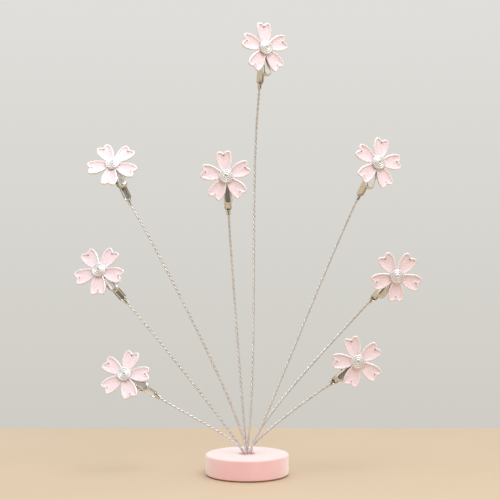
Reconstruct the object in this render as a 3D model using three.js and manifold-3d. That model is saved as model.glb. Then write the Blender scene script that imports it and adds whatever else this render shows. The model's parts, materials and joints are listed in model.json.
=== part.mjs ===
// Table card holder: a weighted round base, a fan of wire stems and a sprung blossom clip on each stem.
// Millimetres, +Z up, +X to the viewer's right, the viewer on the -Y side.
// The origin is the middle of the underside.
import * as THREE from 'three';
import { mergeVertices } from 'three/addons/utils/BufferGeometryUtils.js';
import Module from 'manifold-3d';

const wasm = await Module();
wasm.setup();

// Base, foot pad and the plug that holds the stems
const baseDiameter = 50;
const baseHeight = 11.9;
const baseTopRounding = 0.9;
const baseFootRounding = 0.5;
const padDiameter = 48;
const padThickness = 0.6;
const socketDiameter = 10;
const socketDepth = 9.5;
const plugClearance = 0.1;
const plugSink = 0.4;

// Stems
const wireDiameter = 1.6;
const wireClearance = 0.2;
const footWeb = 0.15;
const footRingPlaces = 7;
const footLift = 0.3;
const leadShare = 0.3;

// Clip sheet metal, measured from the pivot axis
const sheet = 0.5;
const runningGap = 0.3;
const jawLength = 13;
const jawTipWidth = 3;
const jawWidth = 4.8;
const jawShoulder = 3.2;
const jawTipThickness = 0.55;
const biteGap = 0.3;
const toothCount = 3;
const toothDepth = 0.5;
const earRadius = 1.9;
const leverRise = 4.3;
const leverLength = 9;
const leverNeck = 3;
const leverEndWidth = 5.2;
const leverLip = 1.8;
const tailDrop = 3.2;
const tailLength = 13.4;
const tailEarLength = 3.2;
const tailNeck = 5.2;
const tailWidth = 4.4;
const tailShoulder = 1.2;
const tailWallHeight = 2.2;
const crimpLength = 3.6;
const crimpWall = 0.4;

// Pivot pin and torsion spring
const pinDiameter = 1.6;
const pinClearance = 0.2;
const pinHeadDiameter = 2.8;
const pinHeadHeight = 0.5;
const pinEndPlay = 0.15;
const springWire = 0.56;
const springTurns = 3;
const springLegReach = 4.2;
const springCoilGap = 0.3;

// Blossom and the rivet that holds it on the lever
const flowerOffset = 7.5;
const flowerSeatGap = 0.3;
const flowerRadius = 15;
const flowerThickness = 1.2;
const petalCount = 5;
const petalWidth = 9.5;
const petalBelly = 11;
const petalValley = 4.4;
const petalLobeSpread = 6;
const petalNotchDepth = 1.3;
const capDiameter = 8.4;
const capHeight = 2.2;
const capSeatGap = 0.1;
const capSteps = 3;
const capEdgeHeight = 0.7;
const capPitDiameter = 1.4;
const capPitDepth = 0.5;
const shankDiameter = 1.6;
const shankClearance = 0.2;
const clinchDiameter = 2.4;
const clinchHeight = 0.5;
const clinchGap = 0.1;

// Fan: the widest blossom's middle from the centre line, the tallest one's over the base's top, and how far
// the blossoms stand forward of the centre line
const fanReach = 88.5;
const fanHeight = 242.5;
const blossomsForward = 16;

// Each arm: its blossom's middle as shares of the fan's reach and height, the way the blossom faces (yaw to
// the right, pitch upward), how the clip is rolled in that facing and how the petals are spun on the clip.
// These angles are in degrees. The wire's bend is set by how it rises and leans out of the base and bows
// sideways near the clip, as shares of its own span. The place counts round the ring of feet; the tall middle
// stem has none.
const arms = [
  {
    name: 'left_low', place: 4, out: -0.82, up: 0.204,
    yaw: -8, pitch: 24, roll: 64, spin: -7,
    rise: 0.12, lean: 0.01, bow: -0.004,
  },
  {
    name: 'left_mid', place: 3, out: -0.989, up: 0.458,
    yaw: -10, pitch: 20, roll: 44, spin: -5,
    rise: 0.05, lean: -0.01, bow: 0,
  },
  {
    name: 'left_high', place: 5, out: -0.898, up: 0.7175,
    yaw: -3, pitch: 32, roll: 29, spin: 1,
    rise: 0.104, lean: 0.003, bow: 0.028,
  },
  {
    name: 'centre_low', place: 2, out: -0.141, up: 0.687,
    yaw: 4, pitch: 4, roll: 6, spin: 0,
    rise: 0.065, lean: -0.006, bow: -0.005,
  },
  {
    name: 'centre_top', place: null, out: 0.124, up: 1,
    yaw: 26, pitch: 4, roll: 7, spin: -5,
    rise: 0.3, lean: 0.033, bow: -0.005,
  },
  {
    name: 'right_high', place: 6, out: 0.876, up: 0.72,
    yaw: 20, pitch: 6, roll: -21, spin: 7,
    rise: 0.3, lean: 0.13, bow: 0.01,
  },
  {
    name: 'right_mid', place: 0, out: 1, up: 0.443,
    yaw: 6, pitch: -4, roll: -38, spin: 0,
    rise: 0.125, lean: -0.02, bow: 0.015,
  },
  {
    name: 'right_low', place: 1, out: 0.74, up: 0.235,
    yaw: 0, pitch: 2, roll: -47, spin: -8,
    rise: 0.089, lean: -0.02, bow: -0.054,
  },
];

// Facets
const baseFacets = 40;
const capFacets = 10;
const pinFacets = 8;
const plugArcSteps = 6;
const wireArcSteps = 3;
const springArcSteps = 2;
const profileArcSteps = 3;
const petalCurveSteps = 2;
const stemBendSteps = 10;
const springStepsPerTurn = 7;

// Derived sizes that more than one piece uses
const baseTop = padThickness + baseHeight;
const wireRadius = wireDiameter / 2;
const footRingRadius = (wireRadius + wireClearance + footWeb / 2) / Math.sin(Math.PI / footRingPlaces);
const jawHalf = jawWidth / 2;
const earHalf = jawHalf + runningGap + sheet;
const pinHoleRadius = pinDiameter / 2 + pinClearance;
const leverBite = Math.atan((leverRise - jawTipThickness) / jawLength);
const tailBite = Math.atan((tailDrop - jawTipThickness) / jawLength);
const clipSpread = leverBite + tailBite;
const crimpBore = wireRadius + wireClearance;
const crimpRadius = crimpBore + crimpWall;
const crimpAxis = crimpRadius - tailDrop;
const flowerBack = leverRise + flowerSeatGap;
const flowerFront = flowerBack + flowerThickness;
const petalHalf = petalWidth / 2;
const petalLobe = petalLobeSpread / 2;
const notchRadius = flowerRadius - petalNotchDepth;
const shankHoleRadius = shankDiameter / 2 + shankClearance;

const materials = {
  pinkPaint: () => new THREE.MeshStandardMaterial({ color: 0xecb6b2, roughness: 0.45, metalness: 0 }),
  foam: () => new THREE.MeshStandardMaterial({ color: 0x5a5554, roughness: 0.9, metalness: 0 }),
  resin: () => new THREE.MeshStandardMaterial({ color: 0xe7b3ad, roughness: 0.5, metalness: 0 }),
  nickel: () => new THREE.MeshStandardMaterial({ color: 0xd8d4cc, roughness: 0.2, metalness: 1 }),
  wire: () => new THREE.MeshStandardMaterial({ color: 0xc4c2bd, roughness: 0.3, metalness: 1 }),
  enamel: () => new THREE.MeshStandardMaterial({ color: 0xf6d3d7, roughness: 0.15, metalness: 0.2 }),
};

function piece(name, geometry, material) {
  const mesh = new THREE.Mesh(geometry, material);
  mesh.name = name;
  return mesh;
}

// Joining and cutting
function toManifold(geometry) {
  const bare = geometry.clone();
  bare.deleteAttribute('normal');
  bare.deleteAttribute('uv');
  const welded = mergeVertices(bare);
  return new wasm.Manifold(new wasm.Mesh({
    numProp: 3,
    vertProperties: new Float32Array(welded.attributes.position.array),
    triVerts: new Uint32Array(welded.index.array),
  }));
}

function toGeometry(manifold) {
  const mesh = manifold.getMesh();
  const geometry = new THREE.BufferGeometry();
  geometry.setAttribute('position', new THREE.BufferAttribute(mesh.vertProperties, 3));
  geometry.setIndex(new THREE.BufferAttribute(mesh.triVerts, 1));
  geometry.computeVertexNormals();
  return geometry;
}

function common(first, second) {
  return toGeometry(toManifold(first).intersect(toManifold(second)));
}

function join(first, second) {
  return toGeometry(toManifold(first).add(toManifold(second)));
}

function cut(body, ...tools) {
  let result = toManifold(body);
  for (const tool of tools) {
    result = result.subtract(toManifold(tool));
  }
  return toGeometry(result);
}

// A plan outline in X and Y, raised from z0 to z1
function raised(outline, z0, z1, curveSegments) {
  const geometry = new THREE.ExtrudeGeometry(outline, { depth: z1 - z0, bevelEnabled: false, curveSegments });
  return geometry.translate(0, 0, z0);
}

// A side outline in Y and Z, as wide as stated across X
function across(outline, width, curveSegments) {
  const geometry = raised(outline, -width / 2, width / 2, curveSegments);
  const sideways = new THREE.Matrix4().makeBasis(
    new THREE.Vector3(0, 1, 0),
    new THREE.Vector3(0, 0, 1),
    new THREE.Vector3(1, 0, 0),
  );
  return geometry.applyMatrix4(sideways);
}

function disc(radius) {
  return new THREE.Shape().absarc(0, 0, radius, 0, 2 * Math.PI);
}

// A profile of [radius, height] pairs turned about Z, listed from the foot of the axis round to its top
function turned(profile, facets) {
  const points = profile.map(([radius, height]) => new THREE.Vector2(radius, height));
  return new THREE.LatheGeometry(points, facets).rotateX(Math.PI / 2);
}

// Quarter round in a turned profile, about (radius, height), from one angle to another
function quarterRound(radius, height, rounding, from, to) {
  const points = [];
  for (let step = 0; step <= profileArcSteps; step += 1) {
    const angle = from + ((to - from) * step) / profileArcSteps;
    points.push([radius + rounding * Math.cos(angle), height + rounding * Math.sin(angle)]);
  }
  return points;
}

// Base, pad and plug
function baseGeometry() {
  const radius = baseDiameter / 2;
  const floor = baseHeight - socketDepth;
  const profile = [
    [0, 0],
    ...quarterRound(radius - baseFootRounding, baseFootRounding, baseFootRounding, -Math.PI / 2, 0),
    ...quarterRound(radius - baseTopRounding, baseHeight - baseTopRounding, baseTopRounding, 0, Math.PI / 2),
    [socketDiameter / 2, baseHeight],
    [socketDiameter / 2, floor],
    [0, floor],
  ];
  return turned(profile, baseFacets);
}

function padGeometry() {
  const radius = padDiameter / 2;
  return turned([[0, 0], [radius, 0], [radius, padThickness], [0, padThickness]], baseFacets);
}

function footPoint(arm) {
  if (arm.place === null) {
    return new THREE.Vector2(0, 0);
  }
  const angle = (2 * Math.PI * arm.place) / footRingPlaces;
  return new THREE.Vector2(footRingRadius * Math.cos(angle), footRingRadius * Math.sin(angle));
}

function plugGeometry() {
  const outline = disc(socketDiameter / 2 - plugClearance);
  for (const arm of arms) {
    const foot = footPoint(arm);
    const hole = new THREE.Path().absarc(foot.x, foot.y, wireRadius + wireClearance, 0, 2 * Math.PI, true);
    outline.holes.push(hole);
  }
  return raised(outline, 0, socketDepth - plugSink, plugArcSteps);
}

// A wire along a curve whose own steps are kept, so that bends get more of them than straight runs
class SteppedCurve extends THREE.Curve {
  getPointAt(u, target) {
    return this.getPoint(u, target);
  }

  getTangentAt(u, target) {
    return this.getTangent(u, target);
  }
}

function wireAlong(path, radius, arcSteps) {
  return new THREE.ExtrudeGeometry(disc(radius), {
    steps: path.steps,
    extrudePath: path,
    curveSegments: arcSteps,
    bevelEnabled: false,
  });
}

// Straight up out of the socket, a bend toward the clip, then straight into the crimp
class StemPath extends SteppedCurve {
  constructor(foot, exit, mouth, end, arm) {
    super();
    const span = exit.distanceTo(mouth);
    const heading = end.clone().sub(mouth).normalize();
    const rise = exit.clone().add(new THREE.Vector3(arm.lean * span, 0, arm.rise * span));
    const lead = mouth.clone().addScaledVector(heading, -leadShare * span);
    lead.x += arm.bow * span;
    this.foot = foot;
    this.end = end;
    this.steps = stemBendSteps + 2;
    this.bend = new THREE.CubicBezierCurve3(exit, rise, lead, mouth);
  }

  getPoint(t, target = new THREE.Vector3()) {
    const at = t * this.steps;
    if (at < 1) {
      return target.lerpVectors(this.foot, this.bend.v0, at);
    }
    if (at > this.steps - 1) {
      return target.lerpVectors(this.bend.v3, this.end, at - this.steps + 1);
    }
    return this.bend.getPoint((at - 1) / stemBendSteps, target);
  }
}

function stemGeometry(arm, mouth, end) {
  const place = footPoint(arm);
  const foot = new THREE.Vector3(place.x, place.y, footLift - socketDepth);
  const exit = new THREE.Vector3(place.x, place.y, 0);
  return wireAlong(new StemPath(foot, exit, mouth, end, arm), wireRadius, wireArcSteps);
}

// The toothed edge of a jaw from the ear to the tip, along the bite line at the stated angle.
// Both jaws use the same zigzag, so their teeth mesh with the bite gap between them.
function biteEdge(outline, angle, side) {
  const start = jawShoulder;
  const pitch = (jawLength - start) / toothCount;
  const corner = (along, lift) => {
    const point = new THREE.Vector2(along, lift + (side * biteGap) / 2);
    point.rotateAround(new THREE.Vector2(), angle);
    outline.lineTo(point.x, point.y);
  };
  corner(start, 0);
  for (let tooth = 0; tooth < toothCount; tooth += 1) {
    corner(start + (tooth + 0.25) * pitch, toothDepth / 2);
    corner(start + (tooth + 0.75) * pitch, -toothDepth / 2);
  }
}

function pinHole() {
  return across(disc(pinHoleRadius), 4 * earHalf, wireArcSteps);
}

function shankHole(z0, z1) {
  return raised(disc(shankHoleRadius), z0, z1, wireArcSteps);
}

// Moving front jaw and thumb lever, in the frame of its own flat front plate
function leverPlan(inset) {
  const end = leverEndWidth / 2;
  const outline = new THREE.Shape();
  outline.moveTo(jawTipWidth / 2 - inset, jawLength - inset);
  outline.lineTo(-jawTipWidth / 2 + inset, jawLength - inset);
  outline.lineTo(-jawHalf + inset, jawShoulder);
  outline.lineTo(-jawHalf + inset, -leverNeck);
  outline.absarc(0, end - leverLength, end - inset, Math.PI, 2 * Math.PI);
  outline.lineTo(jawHalf - inset, -leverNeck);
  outline.lineTo(jawHalf - inset, jawShoulder);
  return outline;
}

function leverSide() {
  const outline = new THREE.Shape();
  outline.moveTo(jawLength, leverRise);
  outline.lineTo(-leverLength, leverRise);
  outline.lineTo(-leverLength, leverRise - leverLip);
  outline.absarc(0, 0, earRadius, Math.PI, 2 * Math.PI + leverBite);
  biteEdge(outline, leverBite, 1);
  outline.lineTo(jawLength, leverRise - jawTipThickness + biteGap / 2);
  return outline;
}

function leverGeometry() {
  const width = 2 * Math.max(jawWidth, leverEndWidth);
  const body = common(
    across(leverSide(), width, profileArcSteps),
    raised(leverPlan(0), -2 * earRadius, leverRise + sheet, profileArcSteps),
  );
  const hollow = raised(leverPlan(sheet), -2 * earRadius, leverRise - sheet, profileArcSteps);
  const rivetHole = shankHole(0, leverRise + sheet).translate(0, flowerOffset, 0);
  return cut(body, hollow, pinHole(), rivetHole);
}

// Fixed rear jaw, in the frame of its own flat back plate, with its tail rolled round the wire
function jawPlan(inset) {
  const widths = [
    [jawLength - inset, jawTipWidth / 2],
    [jawShoulder, jawHalf],
    [jawShoulder - (earHalf - jawHalf), earHalf],
    [-tailEarLength, earHalf],
    [-tailNeck, tailWidth / 2],
    [tailShoulder - tailLength, tailWidth / 2],
    [-tailLength - inset, crimpRadius],
  ];
  const right = widths.map(([y, half]) => new THREE.Vector2(half - inset, y));
  const left = widths.map(([y, half]) => new THREE.Vector2(inset - half, y)).reverse();
  return new THREE.Shape([...right, ...left]);
}

function jawSide() {
  const wallTop = tailWallHeight - tailDrop;
  const outline = new THREE.Shape();
  outline.moveTo(jawLength, -tailDrop);
  outline.lineTo(-tailLength, -tailDrop);
  outline.lineTo(-tailLength, wallTop);
  outline.lineTo((-earRadius - tailNeck) / 2, wallTop);
  outline.absarc(0, 0, earRadius, Math.PI, -tailBite, true);
  biteEdge(outline, -tailBite, -1);
  outline.lineTo(jawLength, jawTipThickness - tailDrop - biteGap / 2);
  return outline;
}

function crimpGeometry() {
  const ring = disc(crimpRadius);
  ring.holes.push(new THREE.Path().absarc(0, 0, crimpBore, 0, 2 * Math.PI, true));
  const barrel = raised(ring, 0, crimpLength, wireArcSteps);
  return barrel.rotateX(Math.PI / 2).translate(0, -tailLength + sheet, crimpAxis);
}

function jawGeometry() {
  const body = common(
    across(jawSide(), 4 * earHalf, profileArcSteps),
    raised(jawPlan(0), -2 * tailDrop, 2 * earRadius, profileArcSteps),
  );
  const hollow = raised(jawPlan(sheet), sheet - tailDrop, 2 * earRadius, profileArcSteps);
  return join(cut(body, hollow, pinHole()), crimpGeometry());
}

function pinGeometry() {
  const reach = earHalf + pinEndPlay;
  const end = reach + pinHeadHeight;
  const profile = [
    [0, -end],
    [pinHeadDiameter / 2, -end],
    [pinHeadDiameter / 2, -reach],
    [pinDiameter / 2, -reach],
    [pinDiameter / 2, reach],
    [pinHeadDiameter / 2, reach],
    [pinHeadDiameter / 2, end],
    [0, end],
  ];
  return turned(profile, pinFacets).rotateY(Math.PI / 2);
}

// A coil about X with a straight leg at each end, one along the tail and one along the lever
class SpringPath extends SteppedCurve {
  constructor(radius, halfWidth, tailLegEnd, leverLegEnd) {
    super();
    const tangent = (end) => Math.acos(radius / end.length());
    this.radius = radius;
    this.halfWidth = halfWidth;
    this.tailLegEnd = tailLegEnd;
    this.leverLegEnd = leverLegEnd;
    this.from = tailLegEnd.angle() + tangent(tailLegEnd);
    this.to = leverLegEnd.angle() - tangent(leverLegEnd) + 2 * Math.PI * (springTurns + 1);
    this.coilSteps = Math.round(((this.to - this.from) / (2 * Math.PI)) * springStepsPerTurn);
    this.steps = this.coilSteps + 2;
  }

  coilPoint(share, target) {
    const angle = this.from + (this.to - this.from) * share;
    const x = this.halfWidth * (1 - 2 * share);
    return target.set(x, this.radius * Math.cos(angle), this.radius * Math.sin(angle));
  }

  getPoint(t, target = new THREE.Vector3()) {
    const at = t * this.steps;
    if (at < 1) {
      const legEnd = new THREE.Vector3(this.halfWidth, this.tailLegEnd.x, this.tailLegEnd.y);
      return target.lerpVectors(legEnd, this.coilPoint(0, new THREE.Vector3()), at);
    }
    if (at > this.steps - 1) {
      const legEnd = new THREE.Vector3(-this.halfWidth, this.leverLegEnd.x, this.leverLegEnd.y);
      return target.lerpVectors(this.coilPoint(1, new THREE.Vector3()), legEnd, at - this.steps + 1);
    }
    return this.coilPoint((at - 1) / this.coilSteps, target);
  }
}

function springGeometry() {
  const wire = springWire / 2;
  const coilRadius = pinDiameter / 2 + springCoilGap + wire;
  const halfWidth = jawHalf - sheet - runningGap - wire;
  const clear = sheet + runningGap + wire;
  const tailLegEnd = new THREE.Vector2(-springLegReach, clear - tailDrop);
  tailLegEnd.rotateAround(new THREE.Vector2(), clipSpread);
  const leverLegEnd = new THREE.Vector2(-springLegReach, leverRise - clear);
  return wireAlong(new SpringPath(coilRadius, halfWidth, tailLegEnd, leverLegEnd), wire, springArcSteps);
}

// A petal pointing along +Y, from the valley on its right over both lobes to the valley on its left
function petalCurves() {
  const halfTurn = Math.PI / petalCount;
  const valley = [petalValley * Math.sin(halfTurn), petalValley * Math.cos(halfTurn)];
  const valleyPull = [(valley[0] + petalHalf) / 2, (2 * valley[1] + petalBelly) / 3];
  const bellyPull = (2 * petalBelly + valley[1]) / 3;
  const shoulder = (petalBelly + flowerRadius) / 2;
  const lobePull = (petalLobe + 2 * petalHalf) / 3;
  const notchPull = (flowerRadius + notchRadius) / 2;
  const right = [
    [valley, valleyPull, [petalHalf, bellyPull], [petalHalf, petalBelly]],
    [[petalHalf, petalBelly], [petalHalf, shoulder], [lobePull, flowerRadius], [petalLobe, flowerRadius]],
    [[petalLobe, flowerRadius], [petalLobe / 2, flowerRadius], [petalLobe / 5, notchPull], [0, notchRadius]],
  ];
  const left = right.map((curve) => curve.map(([x, y]) => [-x, y]).reverse()).reverse();
  return [...right, ...left];
}

function flowerOutline() {
  const outline = new THREE.Shape();
  for (let petal = 0; petal < petalCount; petal += 1) {
    const turn = (2 * Math.PI * petal) / petalCount;
    const spot = ([x, y]) => new THREE.Vector2(x, y).rotateAround(new THREE.Vector2(), turn);
    for (const curve of petalCurves()) {
      const [start, first, second, end] = curve.map(spot);
      if (outline.curves.length === 0) {
        outline.moveTo(start.x, start.y);
      }
      outline.bezierCurveTo(first.x, first.y, second.x, second.y, end.x, end.y);
    }
  }
  return outline;
}

function flowerGeometry() {
  const plate = raised(flowerOutline(), flowerBack, flowerFront, petalCurveSteps);
  return cut(plate, shankHole(0, flowerFront + sheet));
}

// Ringed cap with a small pit on top, a shank through blossom and lever, and a clinched end behind the lever
function rivetGeometry() {
  const seat = flowerFront + capSeatGap;
  const clinchTop = leverRise - sheet - clinchGap;
  const stepRise = (capHeight - capEdgeHeight) / (capSteps - 1);
  const stepRun = (capDiameter - capPitDiameter) / 2 / capSteps;
  const profile = [
    [0, clinchTop - clinchHeight],
    [clinchDiameter / 2, clinchTop - clinchHeight],
    [clinchDiameter / 2, clinchTop],
    [shankDiameter / 2, clinchTop],
    [shankDiameter / 2, seat],
    [capDiameter / 2, seat],
  ];
  for (let step = 0; step < capSteps; step += 1) {
    const height = seat + capEdgeHeight + step * stepRise;
    const outer = capDiameter / 2 - step * stepRun;
    const slope = step > 0 ? stepRun / 4 : 0;
    profile.push([outer - slope, height]);
    profile.push([outer - stepRun, height]);
  }
  profile.push([capPitDiameter / 4, seat + capHeight - capPitDepth]);
  profile.push([0, seat + capHeight - capPitDepth]);
  return turned(profile, capFacets);
}

// One arm: the clip in the facing of its blossom, and the stem that ends in its crimp
function buildArm(arm, fan) {
  const degrees = THREE.MathUtils.degToRad;
  const facing = new THREE.Group();
  facing.position.set(arm.out * fanReach, -blossomsForward, arm.up * fanHeight);
  facing.rotation.set(degrees(90 - arm.pitch), 0, degrees(arm.yaw), 'ZXY');
  const rolled = new THREE.Group();
  rolled.rotation.z = degrees(arm.roll);
  const clip = new THREE.Group();
  clip.position.set(0, -flowerOffset, -flowerFront);
  const rear = new THREE.Group();
  rear.rotation.x = clipSpread;
  const blossom = new THREE.Group();
  blossom.position.y = flowerOffset;
  blossom.rotation.z = degrees(arm.spin);

  clip.add(piece(`clip_lever_${arm.name}`, leverGeometry(), materials.nickel()));
  clip.add(piece(`pivot_pin_${arm.name}`, pinGeometry(), materials.nickel()));
  clip.add(piece(`clip_spring_${arm.name}`, springGeometry(), materials.wire()));
  rear.add(piece(`clip_jaw_${arm.name}`, jawGeometry(), materials.nickel()));
  blossom.add(piece(`flower_${arm.name}`, flowerGeometry(), materials.enamel()));
  blossom.add(piece(`flower_rivet_${arm.name}`, rivetGeometry(), materials.nickel()));
  clip.add(rear, blossom);
  rolled.add(clip);
  facing.add(rolled);
  fan.add(facing);

  facing.updateMatrixWorld(true);
  const crimpMouth = sheet - tailLength - crimpLength;
  const mouth = rear.localToWorld(new THREE.Vector3(0, crimpMouth, crimpAxis));
  const end = rear.localToWorld(new THREE.Vector3(0, -tailLength, crimpAxis));
  fan.add(piece(`stem_${arm.name}`, stemGeometry(arm, mouth, end), materials.wire()));
}

const holder = new THREE.Group();
holder.name = 'table_card_holder';

const base = piece('base', baseGeometry(), materials.pinkPaint());
base.position.z = padThickness;
const plug = piece('socket_plug', plugGeometry(), materials.resin());
plug.position.z = baseTop - socketDepth;
holder.add(piece('foot_pad', padGeometry(), materials.foam()), base, plug);

const fan = new THREE.Group();
for (const arm of arms) {
  buildArm(arm, fan);
}
fan.position.z = baseTop;
holder.add(fan);

export default holder;
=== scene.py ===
"""Looks of the table card holder: a satin base, twisted wires and enamelled blossoms on sprung clips."""

import json
import math

import bmesh
import bpy
import numpy as np
from mathutils import Matrix, Vector


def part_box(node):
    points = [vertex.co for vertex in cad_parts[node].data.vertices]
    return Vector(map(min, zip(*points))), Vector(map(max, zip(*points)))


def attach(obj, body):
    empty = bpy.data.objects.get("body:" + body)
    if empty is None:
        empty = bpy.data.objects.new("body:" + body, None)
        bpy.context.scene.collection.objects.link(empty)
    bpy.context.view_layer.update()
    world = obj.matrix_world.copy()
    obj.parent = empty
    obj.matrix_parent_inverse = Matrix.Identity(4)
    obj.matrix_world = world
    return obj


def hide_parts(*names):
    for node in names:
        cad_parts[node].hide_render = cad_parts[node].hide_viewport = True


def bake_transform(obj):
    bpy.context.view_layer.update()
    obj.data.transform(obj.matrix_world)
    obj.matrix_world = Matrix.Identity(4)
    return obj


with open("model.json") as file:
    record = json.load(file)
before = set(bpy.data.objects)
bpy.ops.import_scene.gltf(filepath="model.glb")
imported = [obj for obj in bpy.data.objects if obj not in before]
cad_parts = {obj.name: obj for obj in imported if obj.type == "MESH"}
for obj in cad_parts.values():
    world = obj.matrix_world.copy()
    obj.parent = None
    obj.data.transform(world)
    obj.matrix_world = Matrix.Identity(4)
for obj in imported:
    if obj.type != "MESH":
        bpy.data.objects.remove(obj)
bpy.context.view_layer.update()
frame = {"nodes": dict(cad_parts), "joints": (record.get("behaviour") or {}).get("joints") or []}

MM = 0.001

# Meshes: how finely they are cut, which edges stay sharp and which points count as one
BASE_SIDES = 160
PAD_SIDES = 128
PLUG_SIDES = 96
PLUG_RINGS = 40
STRAND_SIDES = 12
PIN_SIDES = 32
SPRING_SIDES = 10
CAP_SIDES = 48
BASE_EDGE_STEPS = 8
BASE_FOOT_STEPS = 6
SOCKET_EDGE_STEPS = 4
PAD_EDGE_STEPS = 4
EAR_STEPS = 16
LEVER_STEPS = 10
THUMB_STEPS = 13
TAIL_STEPS = 26
ROLL_STEPS = 10
CRIMP_STEPS = 12
BEVEL_SEGMENTS = 2
PIN_DOME_STEPS = 7
BACK_STEPS = 4
RIM_STEPS = 6
SLOPE_STEPS = 5
CLINCH_STEPS = 6
CREASE = math.radians(50)
STEEP_CREASE = math.radians(60)
NEARLY_PARALLEL = 0.1
WELD_REACH = 0.002 * MM
READING_REACH = 0.05 * MM
READING_DECIMALS = 6

# Shader nodes: where nearly all of a noise lies, and the colour sockets of a mix node
NOISE_LOW = 0.3
NOISE_HIGH = 0.7
MIX_FIRST = 6
MIX_SECOND = 7
MIX_RESULT = 2

# Base, pad and plug
BASE_EDGE_ROUNDING = 0.9 * MM
BASE_FOOT_ROUNDING = 0.5 * MM
SOCKET_RADIUS = 5 * MM
SOCKET_EDGE_ROUNDING = 0.25 * MM
SOCKET_DEPTH = 9.5 * MM
PAD_ROUNDING = 0.2 * MM
PLUG_MENISCUS = 0.45 * MM
PLUG_MENISCUS_REACH = 0.5 * MM
PLUG_RIM_CREEP = 0.6
PLUG_MIDDLE = 0.02 * MM

# Wires
WIRE_RADIUS = 0.8 * MM
STRAND_RADIUS = 0.47 * MM
TWIST_PITCH = 6 * MM
STRAND_STEP = 0.4 * MM
KNOT_STEPS = 24

# Clip sheet metal, measured from the pivot axis as in the solids
SHEET = 0.5 * MM
JAW_SHEET = 0.8 * SHEET
RUNNING_GAP = 0.3 * MM
BEND_RADIUS = 1.1 * MM
EDGE_BEVEL = 0.07 * MM
EDGE_STEP = 0.7 * MM
WALL_BEND_SHARE = 0.6
FLAT_SHARES = (0, 0.5, 1)
BEND_ANGLES = (22.5, 45, 67.5, 90)
WALL_SHARES = (0.25, 0.5, 0.75, 1)
JAW_LENGTH = 13 * MM
JAW_TIP_HALF = 1.5 * MM
JAW_HALF = 2.4 * MM
JAW_SHOULDER = 3.2 * MM
JAW_TIP_THICKNESS = 0.55 * MM
BITE_GAP = 0.3 * MM
TOOTH_COUNT = 3
TOOTH_DEPTH = 0.5 * MM
TOOTH_PEAK = 0.25
TOOTH_DIP = 0.75
EAR_RADIUS = 1.9 * MM
EAR_HALF = JAW_HALF + RUNNING_GAP + SHEET
LEVER_RISE = 4.3 * MM
LEVER_LENGTH = 9 * MM
LEVER_NECK = 3 * MM
LEVER_END_RADIUS = 2.6 * MM
LEVER_LIP = 1.8 * MM
TAIL_DROP = 3.2 * MM
TAIL_LENGTH = 13.4 * MM
TAIL_EAR_LENGTH = 3.2 * MM
TAIL_NECK = 5.2 * MM
TAIL_HALF = 2.2 * MM
TAIL_SHOULDER = 1.2 * MM
TAIL_WALL = 2.2 * MM
CRIMP_LENGTH = 3.6 * MM
CRIMP_RADIUS = 1.4 * MM
CRIMP_ROLL = 2.2 * MM
CRIMP_SEAM = math.radians(14)
CRIMP_DENT = 0.1
LEVER_BITE = math.atan((LEVER_RISE - JAW_TIP_THICKNESS) / JAW_LENGTH)
TAIL_BITE = math.atan((TAIL_DROP - JAW_TIP_THICKNESS) / JAW_LENGTH)

# Pin and spring
PIN_RADIUS = 0.8 * MM
PIN_HEAD_RADIUS = 1.4 * MM
PIN_HEAD_HEIGHT = 0.5 * MM
PIN_HEAD_EDGE = 0.1 * MM
PIN_HEAD_CHAMFER = 0.05 * MM
PIN_END_PLAY = 0.15 * MM
SPRING_WIRE_RADIUS = 0.28 * MM
SPRING_TURNS = 3
SPRING_LEG_REACH = 4.2 * MM
SPRING_COIL_GAP = 0.3 * MM
SPRING_STEPS_PER_TURN = 28
SPRING_LEG_STEPS = 12

# Blossom and rivet
FLOWER_OFFSET = 7.5 * MM
FLOWER_BACK = LEVER_RISE + 0.3 * MM
FLOWER_FRONT = FLOWER_BACK + 1.2 * MM
FLOWER_RADIUS = 15 * MM
PETALS = 5
PETAL_HALF = 4.75 * MM
PETAL_BELLY = 11 * MM
PETAL_VALLEY = 4.4 * MM
PETAL_LOBE = 3 * MM
NOTCH_RADIUS = FLOWER_RADIUS - 1.3 * MM
PETAL_SPINE = 10.6 * MM
PETAL_STEPS = 10
RIM_SIDE = 0.75 * MM
RIM_ROUND = 0.42 * MM
RIM_CREST = 0.72 * MM
RIM_METAL = 0.85 * MM
RIM_HEIGHT = FLOWER_FRONT - FLOWER_BACK
RIM_SHARE = 0.8
FIELD_START = 1.3 * MM
FIELD_HEIGHT = 0.72 * MM
FIELD_DISH = 0.48 * MM
FIELD_SHARES = (0.15, 0.3, 0.5, 0.75, 1)
BACK_ROUNDING = 0.2 * MM
BACK_SHARES = (1, 0.5)
PETAL_PIT = 12.4 * MM
PETAL_PIT_RADIUS = 0.6 * MM
PETAL_PIT_CORE = 0.4 * PETAL_PIT_RADIUS
CAP_SEAT = FLOWER_FRONT + 0.1 * MM
CAP_RADIUS = 4.2 * MM
CAP_HEIGHT = 2.2 * MM
CAP_SEAT_RADIUS = 0.96 * CAP_RADIUS
CAP_SKIRT = 0.85 * MM
CAP_RINGS = 3
CAP_RING_BULGE = 0.28 * MM
CAP_RING_FULLNESS = 0.7
CAP_RING_STEPS = 9
CAP_PIT_RADIUS = 0.7 * MM
CAP_PIT_STEPS = ((0.85, 0.6 * MM), (0.4, 0.8 * MM), (0, 0.85 * MM))
SHANK_RADIUS = 0.8 * MM
CLINCH_RADIUS = 1.2 * MM
CLINCH_HEIGHT = 0.5 * MM
CLINCH_TOP = LEVER_RISE - SHEET - 0.1 * MM

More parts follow.
